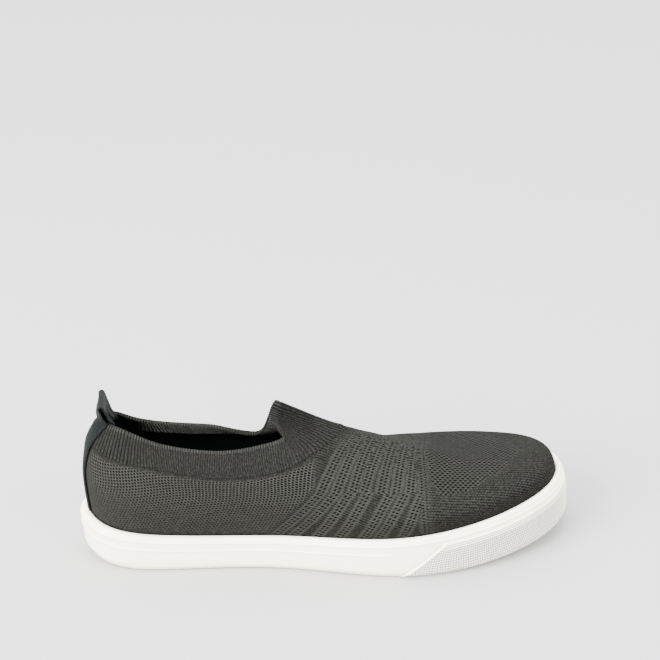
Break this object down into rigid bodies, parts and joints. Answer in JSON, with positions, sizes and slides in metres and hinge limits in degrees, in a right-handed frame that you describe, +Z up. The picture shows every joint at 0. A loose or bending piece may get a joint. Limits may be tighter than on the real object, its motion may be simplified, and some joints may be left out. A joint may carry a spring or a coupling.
{
  "type": "slip-on sneaker",
  "caption": "Right slip-on sneaker: knit sock-like upper with ribbed collar and heel pull loop on a white rubber cup sole with toe bumper and dark herringbone outsole.",
  "frame": {"origin": "on the floor under the middle of the shoe's length and width", "axes": "+X towards the toe, +Z up, -Y the lateral (outer) side of this right shoe"},
  "size_m": [0.2908, 0.1037, 0.0999],
  "materials": {
    "knit": "matte charcoal knit",
    "ribbon": "fine woven ribbon",
    "white_rubber": "smooth satin warm white",
    "bumper_rubber": "fine waffle, matt",
    "dark_rubber": "matt moulded rubber",
    "footbed": "black lining cloth"
  },
  "bodies": {
    "root": {"upper": "knit", "heel_strip": "ribbon", "foxing": "white_rubber", "toe_bumper": "bumper_rubber", "outsole": "dark_rubber", "insole": "footbed"}
  },
  "joints": []
}
